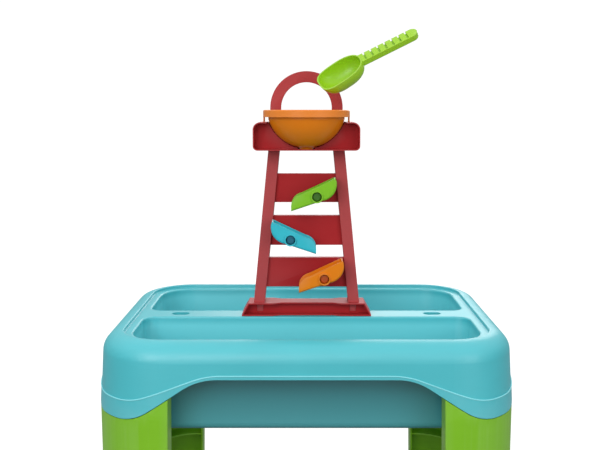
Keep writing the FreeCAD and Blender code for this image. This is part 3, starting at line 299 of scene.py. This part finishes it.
def tube(name, centres, outs, radius, ring=10):
    """Closed round bead along a loop of centres, with per-point outward directions."""
    me = bpy.data.meshes.new(name)
    bm = bmesh.new()
    n = len(centres)
    rings = []
    for i in range(n):
        t = (centres[(i + 1) % n] - centres[i - 1]).normalized()
        o = outs[i] - t * outs[i].dot(t)
        o.normalize()
        w = t.cross(o)
        rings.append([bm.verts.new(centres[i] + (o * math.cos(2 * math.pi * k / ring) + w * math.sin(2 * math.pi * k / ring)) * radius)
                      for k in range(ring)])
    for i in range(n):
        a, b = rings[i], rings[(i + 1) % n]
        for k in range(ring):
            bm.faces.new((a[k], b[k], b[(k + 1) % ring], a[(k + 1) % ring]))
    bmesh.ops.recalc_face_normals(bm, faces=bm.faces)
    for f in bm.faces:
        f.smooth = True
    bm.to_mesh(me)
    bm.free()
    o = bpy.data.objects.new(name, me)
    scene.collection.objects.link(o)
    return o


cen, outs = [], []
for x, y, nx, ny in outline():
    z = bead_z(x, y)
    off = (TZ - z) * TAN + 0.0008
    cen.append(Vector((x + nx * off, y + ny * off, z)))
    outs.append(Vector((nx, ny, 0)))
bead = tube("skirt_bead", cen, outs, 0.0011)
# the bead's paler teal is painted highlight
bead.data.materials.append(MAT["bead"])
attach(bead, "table")

# ------------------------------------------------------------------ stage
me = bpy.data.meshes.new("floor")
bm = bmesh.new()
bmesh.ops.create_circle(bm, cap_ends=True, segments=96, radius=30.0)
bm.to_mesh(me)
bm.free()
floor = bpy.data.objects.new("floor", me)
floor.location.z = -0.0005
scene.collection.objects.link(floor)
fm = bpy.data.materials.new("floor_pale")
fm.use_nodes = True
fnt = fm.node_tree
fnt.nodes.clear()
fout = add(fnt, "ShaderNodeOutputMaterial")
fco = add(fnt, "ShaderNodeTexCoord").outputs["Object"]
fmix = add(fnt, "ShaderNodeMix", data_type="RGBA")
fmix.inputs["A"].default_value = (0.27, 0.27, 0.27, 1)
fmix.inputs["B"].default_value = (0.29, 0.29, 0.29, 1)
fnt.links.new(noise(fnt, fco, 0.6, 2.0), fmix.inputs["Factor"])
fdif = add(fnt, "ShaderNodeBsdfDiffuse")
fnt.links.new(fmix.outputs["Result"], fdif.inputs["Color"])
fem = add(fnt, "ShaderNodeEmission")
fem.inputs["Color"].default_value = (1, 1, 1, 1)
fem.inputs["Strength"].default_value = 0.80
fadd = add(fnt, "ShaderNodeAddShader")
fnt.links.new(fdif.outputs[0], fadd.inputs[0])
fnt.links.new(fem.outputs[0], fadd.inputs[1])
flp = add(fnt, "ShaderNodeLightPath")
fsel = add(fnt, "ShaderNodeMixShader")
fnt.links.new(flp.outputs["Is Camera Ray"], fsel.inputs[0])
fnt.links.new(fdif.outputs[0], fsel.inputs[1])
fnt.links.new(fadd.outputs[0], fsel.inputs[2])
fnt.links.new(fsel.outputs[0], fout.inputs["Surface"])
floor.data.materials.append(fm)

world = bpy.data.worlds.new("studio")
world.use_nodes = True
wnt = world.node_tree
wnt.nodes.clear()
wout = add(wnt, "ShaderNodeOutputWorld")
bg = add(wnt, "ShaderNodeBackground")
wco = add(wnt, "ShaderNodeTexCoord").outputs["Generated"]
wsep = add(wnt, "ShaderNodeSeparateXYZ")
wnt.links.new(wco, wsep.inputs[0])
wz = add(wnt, "ShaderNodeMapRange", interpolation_type="SMOOTHSTEP")
wz.inputs["From Min"].default_value, wz.inputs["From Max"].default_value = 0.05, 0.85
wz.inputs["To Min"].default_value, wz.inputs["To Max"].default_value = 0.40, 1.14
wnt.links.new(wsep.outputs[2], wz.inputs["Value"])
bg.inputs["Color"].default_value = (1, 1, 1, 1)
wnt.links.new(wz.outputs[0], bg.inputs["Strength"])
white = add(wnt, "ShaderNodeBackground")
white.inputs["Color"].default_value = (1, 1, 1, 1)
white.inputs["Strength"].default_value = 1.05
wlp = add(wnt, "ShaderNodeLightPath")
wmix = add(wnt, "ShaderNodeMixShader")
wnt.links.new(wlp.outputs["Is Camera Ray"], wmix.inputs[0])
wnt.links.new(bg.outputs[0], wmix.inputs[1])
wnt.links.new(white.outputs[0], wmix.inputs[2])
wnt.links.new(wmix.outputs[0], wout.inputs["Surface"])
scene.world = world


def area(name, loc, look, size, power):
    l = bpy.data.lights.new(name, "AREA")
    l.shape = "RECTANGLE"
    l.size, l.size_y = size
    l.energy = power
    o = bpy.data.objects.new(name, l)
    o.location = loc
    o.rotation_euler = (Vector(look) - Vector(loc)).to_track_quat("-Z", "Y").to_euler()
    scene.collection.objects.link(o)
    return o


area("key", (-1.3, -2.9, 1.7), (0, 0, 0.45), (1.8, 1.8), 42)
area("fill", (2.0, -2.6, 1.2), (0, 0, 0.45), (1.8, 1.8), 22)
area("back", (0.6, 3.0, 1.8), (0, 0, 0.45), (2.2, 1.6), 30)

cam_data = bpy.data.cameras.new("camera")
cam = bpy.data.objects.new("camera", cam_data)
cam.location = (0, -1.573, 0.789)
cam.rotation_euler = (math.radians(90 - 7.73), 0, 0)
cam_data.lens = 52.2
cam_data.sensor_width = 36.0
cam_data.shift_x = -0.0108
cam_data.clip_end = 100
scene.collection.objects.link(cam)
scene.camera = cam
scene.view_settings.view_transform = "Standard"
scene.view_settings.look = "None"
